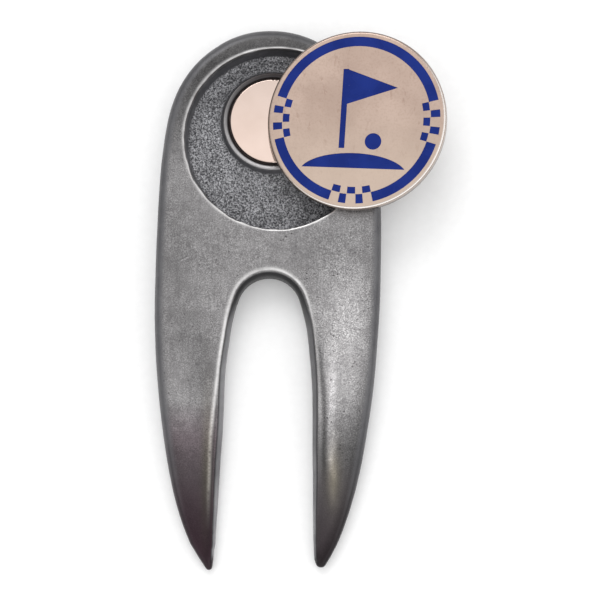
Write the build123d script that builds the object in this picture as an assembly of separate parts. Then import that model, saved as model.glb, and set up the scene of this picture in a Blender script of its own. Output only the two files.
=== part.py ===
from build123d import *
import math
import os

os.makedirs("parts", exist_ok=True)

# Divot repair tool: a two-prong fork cast in zinc, with a round recess in its
# head, a magnet on an off-centre boss, and an enamelled ball marker that the
# magnet holds tilted over the rim of the recess.
# Millimetres. +Z is up out of the face, +Y points to the head, +X to the right.
# The flat back lies on Z = 0 and the origin is on the fork's centreline, level
# with the middle of the recess.

# ------------------------------------------------------------ fork, in plan
HEAD_TOP_Y = 15.98
# points that the smooth chain of outer arcs passes through, right-hand side
OUTER_PTS = [(7.06, 14.09), (12.16, 9.22), (14.73, 2.05),
             (15.81, -14.34), (13.03, -47.13), (9.29, -57.89)]
SLOT_X = 0.20                  # the slot sits slightly right of the centreline
SLOT_TOP_Y = -19.31
SLOT_PTS = [(4.23, -22.39), (5.25, -26.64), (6.14, -36.89), (6.86, -57.89)]
# blunt tips; the right-hand prong is a little shorter than the left
TIP_R = [(9.75, -57.2), (9.25, -58.3), (8.62, -59.42), (7.55, -59.42), (7.0, -57.2)]
TIP_L = [(-9.75, -57.2), (-9.15, -58.3), (-8.3, -59.95), (-7.05, -59.95), (-6.6, -57.2)]
TIP_ROUND = 0.5

# --------------------------------------------------- fork, thickness profile
# height of the face along the fork's length, (y, z)
FACE_PROFILE = [(19.0, 3.30), (15.6, 4.20), (12.6, 4.66), (7.0, 4.80),
                (-4.0, 4.82), (-18.0, 4.72), (-30.0, 4.34), (-42.0, 3.56),
                (-52.0, 2.62), (-66.0, 1.25)]
OUTER_ROUND = 1.15             # soft shoulder along the outside
SLOT_ROUND = 0.90              # softened edge along the slot
BACK_ROUND = 0.35              # eased edges of the back

# -------------------------------------------------------------------- recess
RECESS_X = 0.87                # the recess sits slightly right of the centreline
RECESS_R_TOP = 12.92           # wall radius just under the face
RECESS_R_FLOOR = 12.55         # wall radius at the floor (casting draft)
RECESS_FLOOR_Z = 1.70
RECESS_RIM_ROUND = 0.14
RECESS_FLOOR_ROUND = 0.38

# ----------------------------------------------------------- boss and magnet
MAGNET_X, MAGNET_Y = 0.26, 2.83
BOSS_R_TOP = 7.10
BOSS_R_FOOT = 7.38
BOSS_TOP_Z = 3.06
POCKET_R = 6.25
POCKET_FLOOR_Z = 1.10
MAGNET_R = 6.00                # standard 12 x 2 mm disc magnet
MAGNET_T = 2.00
MAGNET_ROUND = 0.15
GLUE_BED = 0.10                # bed of adhesive under the magnet
GLUE_TOP_Z = 2.92              # adhesive ring stops short of the magnet's face
GLUE_GAP = 0.01

# --------------------------------------------------------------- ball marker
MARKER_R = 12.50               # standard 25 mm marker
MARKER_T = 1.80
MARKER_TOP_ROUND = 0.42
MARKER_BACK_ROUND = 0.40
ENAMEL_DEPTH = 0.25            # depth of the enamel cells in the face
ENAMEL_SINK = 0.03             # the enamel lies this far below the metal lines
CELL_GAP = 0.01
RING_R_IN, RING_R_OUT = 10.34, 11.68
CHECK_R_IN = 9.36
GROUP_HALF_DEG = 15.3          # half the angle a checked panel interrupts the ring
INNER_TILE_DEG, INNER_STEP_DEG = 6.6, 12.2
OUTER_TILE_DEG, OUTER_STEP_DEG = 5.2, 12.2
GROUPS_DEG = {"right": 0.0, "bottom": -90.0, "left": 180.0}

# resting place of the marker: middle of its back face, and its face normal.
# Its near edge lies on the magnet and its back leans on the recess rim.
MARKER_POS = (12.101, 2.173, 5.750)
MARKER_NORMAL = (-0.19931, -0.03482, 0.97932)
MARKER_TURN_DEG = -3.4         # how far the marker is turned about its own axis


def arc_chain(start, direction, points):
    """Tangent arcs from start through the points."""
    edges = []
    here, way = Vector(*start), Vector(*direction)
    for p in points:
        edge = TangentArc(here, Vector(*p), tangent=way)
        edges.append(edge)
        here, way = edge @ 1, edge % 1
    return edges, here, way


def mirrored(points):
    return [(-x, y) for x, y in points]


# --------------------------------------------------------------- fork body
right_out, r_end, r_way = arc_chain((0, HEAD_TOP_Y), (1, 0), OUTER_PTS)
left_out, l_end, l_way = arc_chain((0, HEAD_TOP_Y), (-1, 0), mirrored(OUTER_PTS))
right_in, ri_end, ri_way = arc_chain(
    (SLOT_X, SLOT_TOP_Y), (1, 0), [(SLOT_X + x, y) for x, y in SLOT_PTS])
left_in, li_end, li_way = arc_chain(
    (SLOT_X, SLOT_TOP_Y), (-1, 0), [(SLOT_X - x, y) for x, y in SLOT_PTS])

# the prongs are drawn a little long, then their tips are trimmed to shape
r_run = TangentArc(r_end, r_end + Vector(-0.55, -2.7), tangent=r_way)
l_run = TangentArc(l_end, l_end + Vector(0.55, -2.7), tangent=l_way)
ri_run = TangentArc(ri_end, ri_end + Vector(-1.1, -2.7), tangent=ri_way)
li_run = TangentArc(li_end, li_end + Vector(1.1, -2.7), tangent=li_way)
outline = Wire(
    left_out[::-1] + right_out
    + [r_run, Line(r_run @ 1, ri_run @ 1), ri_run] + right_in[::-1]
    + left_in + [li_run, Line(li_run @ 1, l_run @ 1), l_run])
slab = extrude(make_face(outline), 7)

crown = Spline(*FACE_PROFILE)
side = Wire([Line((19, -1), FACE_PROFILE[0]), crown,
             Line(FACE_PROFILE[-1], (-66, -1)), Line((-66, -1), (19, -1))])
side_block = extrude(make_face(Plane.YZ.offset(-20) * side), 40)
fork = (slab & side_block).solids()[0]


def long_edges(solid, top, slot):
    """The chain of face or back edges that bounds the slot or the outside."""
    keep = []
    for e in solid.edges():
        box, c = e.bounding_box(), e.center()
        flat_back = box.max.Z < 0.02
        face_edge = box.min.Z > 1.2
        if not (face_edge if top else flat_back):
            continue
        if c.Y < -60.0:
            continue
        inside = abs(c.X - SLOT_X) < 7.2 and c.Y < -19.0
        if inside == slot:
            keep.append(e)
    return keep


fork = fork.fillet(BACK_ROUND, long_edges(fork, False, False))
fork = fork.fillet(BACK_ROUND, long_edges(fork, False, True))
fork = fork.fillet(OUTER_ROUND, long_edges(fork, True, False))
fork = fork.fillet(SLOT_ROUND, long_edges(fork, True, True))


def tip_trimmer(points):
    """Everything beyond a blunt, rounded prong tip."""
    keeper = make_face(Polyline(*points, close=True))
    corners = [v for v in keeper.vertices() if v.Y < -58.0]
    keeper = fillet(corners, TIP_ROUND)
    x_mid = sum(p[0] for p in points) / len(points)
    field = Pos(x_mid, -61.35, 0) * Rectangle(9.0, 8.0)
    return Pos(0, 0, -1) * extrude(field - keeper, 8)


fork = fork - tip_trimmer(TIP_R)
fork = fork - tip_trimmer(TIP_L)

# recess: drafted wall, rounded floor corner, eased rim
depth = 6.0 - RECESS_FLOOR_Z
slope = (RECESS_R_TOP - RECESS_R_FLOOR) / (4.8 - RECESS_FLOOR_Z)
recess = Pos(RECESS_X, 0, RECESS_FLOOR_Z + depth / 2) * Cone(
    RECESS_R_FLOOR, RECESS_R_FLOOR + slope * depth, depth)
recess = fillet(recess.edges().sort_by(Axis.Z)[0], RECESS_FLOOR_ROUND)
boss = Pos(MAGNET_X, MAGNET_Y, (RECESS_FLOOR_Z - 0.3 + BOSS_TOP_Z) / 2) * Cone(
    BOSS_R_FOOT, BOSS_R_TOP, BOSS_TOP_Z - RECESS_FLOOR_Z + 0.3)
boss = fillet(boss.edges().sort_by(Axis.Z)[-1], 0.22)
recess = recess - boss
fork = fork - recess
rim = [e for e in fork.edges()
       if e.bounding_box().min.Z > 4.3 and 75 < e.length < 90]
fork = fillet(rim, RECESS_RIM_ROUND)
pocket = Pos(MAGNET_X, MAGNET_Y, POCKET_FLOOR_Z + 2.0) * Cylinder(POCKET_R, 4.0)
fork = fork - pocket
lip = [e for e in fork.edges()
       if e.geom_type == GeomType.CIRCLE and abs(e.radius - POCKET_R) < 0.01
       and e.center().Z > 2.9]
fork = fillet(lip, 0.12)
fork_body = fork.solids()[0]

# --------------------------------------------------- magnet and its adhesive
magnet_z = POCKET_FLOOR_Z + GLUE_BED + MAGNET_T / 2
magnet = Pos(MAGNET_X, MAGNET_Y, magnet_z) * Cylinder(MAGNET_R, MAGNET_T)
magnet = fillet(magnet.edges().filter_by(GeomType.CIRCLE), MAGNET_ROUND)

bed_r = POCKET_R - GLUE_GAP
glue_top = GLUE_TOP_Z - POCKET_FLOOR_Z
adhesive = Pos(MAGNET_X, MAGNET_Y, POCKET_FLOOR_Z + glue_top / 2) * Cylinder(bed_r, glue_top)
seat = Pos(MAGNET_X, MAGNET_Y, POCKET_FLOOR_Z + GLUE_BED + 1.5) * Cylinder(
    MAGNET_R + GLUE_GAP, 3.0)
adhesive = adhesive - seat

# --------------------------------------------------------------- ball marker
marker = Pos(0, 0, MARKER_T / 2) * Cylinder(MARKER_R, MARKER_T)
rims = marker.edges().filter_by(GeomType.CIRCLE).sort_by(Axis.Z)
marker = fillet([rims[-1]], MARKER_TOP_ROUND)
rims = [e for e in marker.edges() if e.geom_type == GeomType.CIRCLE
        and e.center().Z < 0.01 and abs(e.radius - MARKER_R) < 0.01]
marker = fillet(rims, MARKER_BACK_ROUND)


def sector(r_in, r_out, a0, a1):
    """Flat ring sector between two angles, in degrees."""
    r0, r1 = math.radians(a0), math.radians(a1)
    rm = (r0 + r1) / 2

    def at(r, a):
        return (r * math.cos(a), r * math.sin(a))

    return make_face(Wire([
        Line(at(r_in, r0), at(r_out, r0)),
        ThreePointArc(at(r_out, r0), at(r_out, rm), at(r_out, r1)),
        Line(at(r_out, r1), at(r_in, r1)),
        ThreePointArc(at(r_in, r1), at(r_in, rm), at(r_in, r0))]))


cells = {}
cells["border_enamel_top"] = [
    (RING_R_IN, RING_R_OUT, GROUP_HALF_DEG, 180.0 - GROUP_HALF_DEG)]
cells["border_enamel_lower_left"] = [
    (RING_R_IN, RING_R_OUT, 180.0 + GROUP_HALF_DEG, 270.0 - GROUP_HALF_DEG)]
cells["border_enamel_lower_right"] = [
    (RING_R_IN, RING_R_OUT, 270.0 + GROUP_HALF_DEG, 360.0 - GROUP_HALF_DEG)]
for place, mid in GROUPS_DEG.items():
    tiles = []
    for k in (-1, 0, 1):
        c = mid + k * INNER_STEP_DEG
        tiles.append((CHECK_R_IN, RING_R_IN - 0.04, c - INNER_TILE_DEG / 2, c + INNER_TILE_DEG / 2))
    for k in (-0.5, 0.5):
        c = mid + k * OUTER_STEP_DEG
        tiles.append((RING_R_IN + 0.04, RING_R_OUT, c - OUTER_TILE_DEG / 2, c + OUTER_TILE_DEG / 2))
    cells["check_enamel_" + place] = tiles

def tile_faces(r_in, r_out, a0, a1, gap):
    """A ring sector, drawn smaller by the gap on every side."""
    da = math.degrees(gap / r_in)
    return sector(r_in + gap, r_out - gap, a0 + da, a1 - da)


def flag_face(gap):
    """A pennant on its pole, as one face."""
    pole = Pos(-1.75, 1.55) * Rectangle(0.80 - 2 * gap, 11.1 - 2 * gap)
    pennant = make_face(Polyline(
        (-1.6, 7.10 - gap), (5.60 - 3.2 * gap, 4.60), (-1.6, 2.10 + gap), close=True))
    return (pole + pennant).faces()[0]


def green_face(gap):
    """The low mound of a putting green."""
    mound = Pos(0.0, -7.6) * Ellipse(7.5 - gap, 2.95 - gap)
    return (mound & (Pos(0.0, -5.45) * Rectangle(18.0, 2.6 - 2 * gap))).faces()[0]


def ball_face(gap):
    return (Pos(2.60, -2.95) * Circle(1.15 - gap)).faces()[0]


outlines = {}
for name, tiles in cells.items():
    outlines[name] = [(tile_faces(*t, 0.0), tile_faces(*t, CELL_GAP)) for t in tiles]
# emblem: a flag on a pole, the green it stands on, and a ball beside it
outlines["flag_enamel"] = [(flag_face(0.0), flag_face(CELL_GAP))]
outlines["green_enamel"] = [(green_face(0.0), green_face(CELL_GAP))]
outlines["ball_enamel"] = [(ball_face(0.0), ball_face(CELL_GAP))]

fills = {}
for name, faces in outlines.items():
    solids = []
    for cell_face, fill_face in faces:
        cell = Pos(0, 0, MARKER_T - ENAMEL_DEPTH) * extrude(cell_face, ENAMEL_DEPTH + 0.5)
        marker = marker - cell
        solids.append(Pos(0, 0, MARKER_T - ENAMEL_DEPTH)
                      * extrude(fill_face, ENAMEL_DEPTH - ENAMEL_SINK))
    fills[name] = solids

nx, ny, nz = MARKER_NORMAL
rest = Plane(origin=MARKER_POS, x_dir=(nz, 0, -nx), z_dir=MARKER_NORMAL)
placing = rest.location * Rot(0, 0, MARKER_TURN_DEG)

nodes = {
    "fork_body": [fork_body],
    "magnet": [magnet],
    "magnet_adhesive": [adhesive],
    "marker_disc": [placing * marker],
}
for name, solids in fills.items():
    nodes[name] = [placing * s for s in solids]

for name, solids in nodes.items():
    solids = [s for shape in solids for s in shape.solids()]
    whole = solids[0] if len(solids) == 1 else Compound(children=solids)
    export_step(whole, "parts/" + name + ".step")
    box = whole.bounding_box()
    print(name, len(solids), "solid(s)", round(sum(s.volume for s in solids), 3), "mm3",
          [round(v, 2) for v in (*box.min, *box.max)])
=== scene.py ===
import bpy, bmesh, math
import numpy as np
from mathutils import Matrix, Vector
from mathutils.geometry import delaunay_2d_cdt


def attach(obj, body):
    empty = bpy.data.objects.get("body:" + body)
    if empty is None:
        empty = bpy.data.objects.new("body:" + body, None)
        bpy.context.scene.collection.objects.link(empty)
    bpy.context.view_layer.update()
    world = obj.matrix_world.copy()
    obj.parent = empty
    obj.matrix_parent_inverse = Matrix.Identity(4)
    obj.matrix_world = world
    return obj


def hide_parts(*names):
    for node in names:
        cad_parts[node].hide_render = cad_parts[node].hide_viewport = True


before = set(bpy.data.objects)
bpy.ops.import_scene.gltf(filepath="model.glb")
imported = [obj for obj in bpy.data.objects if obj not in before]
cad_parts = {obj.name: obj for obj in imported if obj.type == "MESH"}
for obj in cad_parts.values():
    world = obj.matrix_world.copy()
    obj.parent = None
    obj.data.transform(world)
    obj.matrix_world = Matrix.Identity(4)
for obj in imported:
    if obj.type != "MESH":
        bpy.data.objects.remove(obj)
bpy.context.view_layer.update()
MM = 0.001
scene = bpy.context.scene
scene.view_settings.view_transform = "Standard"
scene.view_settings.look = "None"
scene.view_settings.exposure = 0.0
scene.view_settings.gamma = 1.0

# =====================================================================
# Fork body as a finished casting: the same outline, face, recess and boss
# as the CAD, with soft shoulders, crowned prongs, rounded tips, a grained
# recess floor, small casting pits and dents. All lengths in millimetres.
# =====================================================================
HEAD_TOP_Y = 15.98
OUTER_PTS = [(7.06, 14.09), (12.16, 9.22), (14.73, 2.05),
             (15.81, -14.34), (13.03, -47.13), (9.29, -57.89)]
SLOT_X, SLOT_TOP_Y = 0.20, -19.31
SLOT_PTS = [(4.23, -22.39), (5.25, -26.64), (6.14, -36.89), (6.86, -57.89)]
TIP_R = [(9.88, -56.7), (9.34, -57.78), (8.42, -59.34), (7.45, -59.34), (7.02, -58.1), (6.86, -56.7)]
TIP_L = [(-9.84, -56.7), (-9.02, -58.0), (-7.70, -59.93), (-7.03, -59.93), (-6.70, -56.7)]
TIP_ROUND = {"right": 0.60, "left": 0.45}
FACE_PROFILE = [(19.0, 3.30), (15.6, 4.20), (12.6, 4.66), (7.0, 4.80),
                (-4.0, 4.82), (-18.0, 4.72), (-30.0, 4.34), (-42.0, 3.56),
                (-52.0, 2.62), (-66.0, 1.25)]
RC = np.array([0.87, 0.0])                 # middle of the recess
R_TOP, R_FLOOR, Z_FLOOR = 12.92, 12.55, 1.70
BC = np.array([0.26, 2.83])                # middle of the boss and magnet
BOSS_FOOT, BOSS_TOP, BOSS_Z, POCKET_R, POCKET_Z = 7.32, 7.04, 3.06, 6.25, 1.10
BACK_ROUND = 0.35


def tangent_arc(p, t, q, step):
    """Points along the arc that leaves p along t and ends at q, and its end tangent."""
    p, t, q = np.array(p, float), np.array(t, float), np.array(q, float)
    n = np.array([t[1], -t[0]])
    d = q - p
    s, c = d @ n, d @ t
    length = np.hypot(*d)
    ang = 2 * math.atan2(s, c)
    if abs(s) < 1e-7:
        k = max(1, int(length / step))
        return p + np.outer(np.linspace(0, 1, k + 1)[1:], d), t
    r = length * length / (2 * s)
    k = max(2, int(abs(r * ang) / step))
    a = np.linspace(0, ang, k + 1)[1:, None]
    pts = p + r * (np.sin(a) * t + (1 - np.cos(a)) * n)
    return pts, math.cos(ang) * t + math.sin(ang) * n


def chain(start, way, points, run, step=0.05):
    out = [np.array([start], float)]
    here, t = np.array(start, float), np.array(way, float)
    for q in points:
        pts, t = tangent_arc(here, t, q, step)
        out.append(pts)
        here = pts[-1]
    pts, t = tangent_arc(here, t, here + np.array(run), step)
    out.append(pts)
    return np.concatenate(out)


def rounded(poly, r, y_max):
    """A polygon with its corners below y_max rounded."""
    poly = np.array(poly, float)
    out = []
    for i, b in enumerate(poly):
        a, c = poly[i - 1], poly[(i + 1) % len(poly)]
        if b[1] >= y_max:
            out.append(b)
            continue
        u, v = (a - b) / np.hypot(*(a - b)), (c - b) / np.hypot(*(c - b))
        half = math.acos(np.clip(u @ v, -1, 1)) / 2
        d = r / math.tan(half)
        m = (u + v) / np.hypot(*(u + v))
        centre = b + m * r / math.sin(half)
        p0, p1 = b + u * d, b + v * d
        a0 = math.atan2(*(p0 - centre)[::-1])
        a1 = math.atan2(*(p1 - centre)[::-1])
        da = (a1 - a0 + math.pi) % (2 * math.pi) - math.pi
        for f in np.linspace(0, 1, 9):
            out.append(centre + r * np.array([math.cos(a0 + f * da), math.sin(a0 + f * da)]))
    return np.array(out)


def clip_convex(subject, clip):
    """The part of a polygon inside a convex one."""
    if sum((clip[i - 1][0] * clip[i][1] - clip[i][0] * clip[i - 1][1]) for i in range(len(clip))) < 0:
        clip = clip[::-1]
    out = list(subject)
    for i in range(len(clip)):
        a, b = clip[i - 1], clip[i]
        e = b - a

        def side(p):
            return e[0] * (p[1] - a[1]) - e[1] * (p[0] - a[0])

        src, out = out, []
        for j in range(len(src)):
            p, q = src[j - 1], src[j]
            sp, sq = side(p), side(q)
            if (sp >= 0) != (sq >= 0):
                out.append(p + (q - p) * (sp / (sp - sq)))
            if sq >= 0:
                out.append(q)
    return np.array(out)


CUT_Y = -56.9


def prong_end(outer, inner, keeper, r):
    """The trimmed tip, as points from the outer side to the slot side."""
    o, i = outer[outer[:, 1] < CUT_Y], inner[inner[:, 1] < CUT_Y]
    piece = np.concatenate([o, i[::-1]])
    got = clip_convex(piece, rounded(keeper, r, -58.05))
    # roll so that the loop starts at the outer side of the cut line
    start = np.argmin(np.hypot(*(got - o[0]).T))
    got = np.roll(got, -start, axis=0)
    if got[1][1] > CUT_Y - 0.02 and got[-1][1] < CUT_Y - 0.02:
        got = np.roll(got[::-1], 1, axis=0)
    return got


def outline():
    ro = chain((0, HEAD_TOP_Y), (1, 0), OUTER_PTS, (-1.30, -2.7))
    ri = chain((SLOT_X, SLOT_TOP_Y), (1, 0), [(SLOT_X + x, y) for x, y in SLOT_PTS], (-1.1, -2.7))
    lo = ro * (-1, 1)
    li = ri * (-1, 1) + (2 * SLOT_X, 0)
    er = prong_end(ro, ri, TIP_R, TIP_ROUND["right"])
    el = prong_end(lo, li, TIP_L, TIP_ROUND["left"])
    up = lambda c: c[c[:, 1] >= CUT_Y]
    loop = np.concatenate([up(ro), er, up(ri)[::-1][:-1], up(li), el[::-1], up(lo)[::-1][:-1]])
    keep = np.hypot(*(loop - np.roll(loop, 1, axis=0)).T) > 1e-4
    return loop[keep]


def resample(loop, spacing):
    """Closed loop resampled with a spacing that depends on place."""
    nxt = np.roll(loop, -1, axis=0)
    seg = np.hypot(*(nxt - loop).T)
    rate = seg / spacing(0.5 * (loop + nxt))
    s = np.concatenate([[0], np.cumsum(rate)])
    n = int(s[-1])
    want = np.arange(n) * s[-1] / n
    closed = np.vstack([loop, loop[:1]])
    return np.stack([np.interp(want, s, closed[:, k]) for k in (0, 1)], 1)


def smooth_loop(loop, weight, times):
    for _ in range(times):
        avg = 0.5 * (np.roll(loop, 1, axis=0) + np.roll(loop, -1, axis=0))
        loop = loop + (avg - loop) * 0.5 * weight(loop)[:, None]
    return loop


def loop_normals(loop):
    t = np.roll(loop, -1, axis=0) - np.roll(loop, 1, axis=0)
    t /= np.hypot(*t.T)[:, None]
    n = np.stack([t[:, 1], -t[:, 0]], 1)      # the loop runs clockwise: inside is to the right
    for _ in range(2):
        n = n + 0.5 * (np.roll(n, 1, axis=0) + np.roll(n, -1, axis=0))
        n /= np.hypot(*n.T)[:, None]
    return n


def distance_to(points, loop, mask):
    """Distance to the masked segments of a loop, and the nearest one's index."""
    a = loop
    b = np.roll(loop, -1, axis=0)
    idx = np.nonzero(mask)[0]
    a, b = a[idx], b[idx]
    d = b - a
    dd = (d ** 2).sum(1)
    best = np.full(len(points), 1e9)
    who = np.zeros(len(points), int)
    for s in range(0, len(points), 2048):
        p = points[s:s + 2048]
        w = p[:, None, :] - a[None]
        f = np.clip((w * d).sum(2) / dd, 0, 1)
        q = w - f[..., None] * d
        r = (q ** 2).sum(2)
        k = r.argmin(1)
        best[s:s + 2048] = np.sqrt(r[np.arange(len(p)), k])
        who[s:s + 2048] = idx[k]
    return best, who


def inside(points, loop):
    a, b = loop, np.roll(loop, -1, axis=0)
    out = np.zeros(len(points), bool)
    for s in range(0, len(points), 4096):
        p = points[s:s + 4096]
        x, y = p[:, :1], p[:, 1:]
        c = (a[:, 1] > y) != (b[:, 1] > y)
        with np.errstate(divide="ignore", invalid="ignore"):
            xs = (b[:, 0] - a[:, 0]) * (y - a[:, 1]) / (b[:, 1] - a[:, 1]) + a[:, 0]
        out[s:s + 4096] = (np.where(c, x < xs, False).sum(1) % 2) == 1
    return out


def spline(points):
    """A cubic curve z(y) through the points."""
    pts = np.array(sorted(points))
    x, z = pts.T
    h = np.diff(x)
    n = len(x)
    A, r = np.eye(n), np.zeros(n)
    for i in range(1, n - 1):
        A[i, i - 1:i + 2] = h[i - 1], 2 * (h[i - 1] + h[i]), h[i]
        r[i] = 6 * ((z[i + 1] - z[i]) / h[i] - (z[i] - z[i - 1]) / h[i - 1])
    m = np.linalg.solve(A, r)

    def f(v):
        k = np.clip(np.searchsorted(x, v) - 1, 0, n - 2)
        u, w, hk = v - x[k], x[k + 1] - v, h[k]
        return (m[k] * w ** 3 + m[k + 1] * u ** 3) / (6 * hk) \
            + (z[k] / hk - m[k] * hk / 6) * w + (z[k + 1] / hk - m[k + 1] * hk / 6) * u
    return f


def field(seed, lx, ly, cell=0.12, x0=-17.0, y0=-61.0, w=34.0, h=78.0, band=2.0):
    """Smooth random relief with features about lx by ly across, as a function of place."""
    nx, ny = int(w / cell), int(h / cell)
    r = np.random.default_rng(seed).standard_normal((ny, nx))
    kx = np.fft.fftfreq(nx, cell)[None]
    ky = np.fft.fftfreq(ny, cell)[:, None]
    q = np.sqrt((kx * lx) ** 2 + (ky * ly) ** 2)
    g = np.exp(-0.5 * (q / 0.5) ** 2 * 1.0) * (1 - np.exp(-(q * band) ** 2))
    f = np.real(np.fft.ifft2(np.fft.fft2(r) * g))
    f /= f.std()

    def at(p):
        u = np.clip((p[:, 0] - x0) / cell, 0, nx - 1.001)
        v = np.clip((p[:, 1] - y0) / cell, 0, ny - 1.001)
        i, j = u.astype(int), v.astype(int)
        fu, fv = u - i, v - j
        i1, j1 = np.minimum(i + 1, nx - 1), np.minimum(j + 1, ny - 1)
        return ((1 - fu) * (1 - fv) * f[j, i] + fu * (1 - fv) * f[j, i1]
                + (1 - fu) * fv * f[j1, i] + fu * fv * f[j1, i1])
    return at


def step01(v, a, b):
    t = np.clip((v - a) / (b - a), 0, 1)
    return t * t * (3 - 2 * t)


# ------------------------------------------------------------ the outline loop
RAW = outline()
LOOP = resample(RAW, lambda p: np.where(p[:, 1] < -57.2, 0.085, np.where(
    (np.abs(p[:, 0]) < 6.0) & (p[:, 1] > -26) & (p[:, 1] < -19), 0.22, 0.30)))
LOOP = smooth_loop(LOOP, lambda p: (p[:, 1] < -56.6) * 1.0, 3)
# each edge as measured lies a little off the drawn arcs, for no known reason: (y, shift in x)
DRIFT = {
    "outer_left": [(15.9, 0), (13.4, 0.34), (11.3, 0.30), (9.1, 0.25), (7.0, 0.21), (4.8, 0.20), (2.6, 0.15),
                   (0.3, 0.06), (-4.0, 0.03), (-8.5, 0.12), (-12.8, 0.18), (-17.0, 0.14), (-19.8, 0.10),
                   (-22.7, 0), (-25.5, -0.07), (-28.3, -0.12), (-31, -0.17), (-39.5, -0.17), (-42.2, -0.15),
                   (-45, -0.12), (-47.8, -0.03), (-50.5, 0), (-57, 0)],
    "outer_right": [(15.9, 0), (13.4, -0.22), (11, -0.14), (7, -0.07), (0, -0.05), (-11, -0.06), (-14, -0.11),
                    (-17, -0.13), (-20, -0.11), (-22.7, -0.07), (-28, -0.06), (-31, -0.01), (-34, 0.03),
                    (-36.7, 0.04), (-45, 0), (-47.8, -0.08), (-50.5, -0.13), (-53, -0.09), (-55.9, 0)],
    "slot_left": [(-20, 0), (-24.1, -0.09), (-26.2, -0.06), (-28.3, 0), (-32.5, -0.03), (-36.7, 0.07),
                  (-40.8, 0.06), (-42.9, -0.01), (-45, -0.06), (-51.2, -0.08), (-53.2, -0.10), (-55.3, -0.09),
                  (-57.6, -0.02), (-58.4, 0)],
    "slot_right": [(-20, 0), (-24.1, 0.03), (-26.2, 0.11), (-30.4, 0.07), (-34.6, 0.13), (-38.8, 0.16),
                   (-40.8, 0.14), (-42.9, 0.11), (-47.1, 0.12), (-49.1, 0.08), (-51.2, 0.03), (-53.2, 0),
                   (-55.3, -0.05), (-57.6, -0.05), (-58.4, 0)]}


def drifted(p):
    slot = (np.abs(p[:, 0] - SLOT_X) < 7.25) & (p[:, 1] < -19.0)
    shift = np.zeros(len(p))
    for name, table in DRIFT.items():
        y, dx = np.array(sorted(table)).T
        mine = (slot if name[:4] == "slot" else ~slot) & ((p[:, 0] > SLOT_X) == name.endswith("right"))
        shift[mine] = np.interp(p[mine, 1], y, dx)
    return p + np.stack([shift, np.zeros(len(p))], 1)


LOOP = drifted(LOOP)
LOOP_N = loop_normals(LOOP)
IS_SLOT = (np.abs(LOOP[:, 0] - SLOT_X) < 7.2) & (LOOP[:, 1] < -19.0) & (LOOP[:, 1] > -58.6)
# the slot's own shoulder fades into the tips' shoulder
face_z = spline(FACE_PROFILE)


def outer_width(p):
    w = 1.45 - 0.75 * step01(-p[:, 1], 44.0, 58.5)
    room = np.hypot(*(p - RC).T) - (R_TOP + 0.25)
    return np.where(p[:, 1] > -14, np.minimum(w, np.maximum(0.55, room * 0.92)), w)


def slot_width(p):
    """The slot's worn edge is wider in some places than in others, and differs per side."""
    at = -p[:, 1]
    left = np.interp(at, [19, 20.5, 24, 36, 48, 58], [1.02, 1.00, 0.88, 1.08, 1.05, 0.52])
    right = np.interp(at, [19, 20.5, 24, 30, 36, 48, 58], [1.04, 1.12, 1.38, 1.26, 1.10, 0.90, 0.50])
    f = step01(p[:, 0] - SLOT_X, -2.5, 2.5)
    return left * (1 - f) + right * f


W_OUT = outer_width(LOOP)
W_SLOT = slot_width(LOOP)


def round_drop(d, w, h):
    t = np.clip(1 - d / w, 0, 1)
    return h * (1 - np.sqrt(np.clip(1 - t * t, 0, 1)))


SLOT_A = math.radians(63)


def slot_drop(d, w):
    """A small round on the edge of the face, then a steep drafted wall."""
    k = w / 0.95
    r = 0.56 * k
    horiz = r * math.sin(SLOT_A)
    u = np.clip(w - d, 0, w)
    arc = r - np.sqrt(np.clip(r * r - np.minimum(u, horiz) ** 2, 0, None))
    return arc + np.maximum(u - horiz, 0) * math.tan(SLOT_A)


undulate = field(11, 4.0, 7.0)
ripple = field(12, 1.1, 2.6)


def face_height(p, d_out, i_out, d_slot, i_slot):
    """Height of the face, shoulders included, at points of the plan."""
    z = face_z(p[:, 1])
    lower = step01(-p[:, 1], 14.0, 34.0)
    crown = (0.10 + 0.30 * lower) * (1 - np.clip(d_out / (3.2 + 1.6 * lower), 0, 1)) ** 2
    crown += 0.10 * lower * (1 - np.clip(d_slot / 2.6, 0, 1)) ** 2
    body = z - crown
    h_out = np.minimum(1.30, 0.42 * body)
    drop = round_drop(d_out, W_OUT[i_out], h_out)
    s_scale = np.clip((body - 0.5) / 2.2, 0.35, 1.0)
    drop2 = slot_drop(d_slot, W_SLOT[i_slot]) * s_scale
    # where both shoulders meet on a narrow tip they blend
    total = np.sqrt(drop ** 2 + drop2 ** 2 + 0.9 * drop * drop2)
    flat = np.clip(np.minimum(d_out, d_slot) / 0.5, 0, 1)
    relief = flat * (0.010 * undulate(p) + 0.0035 * ripple(p))
    return np.maximum(body - total, 0.62) + relief


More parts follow.
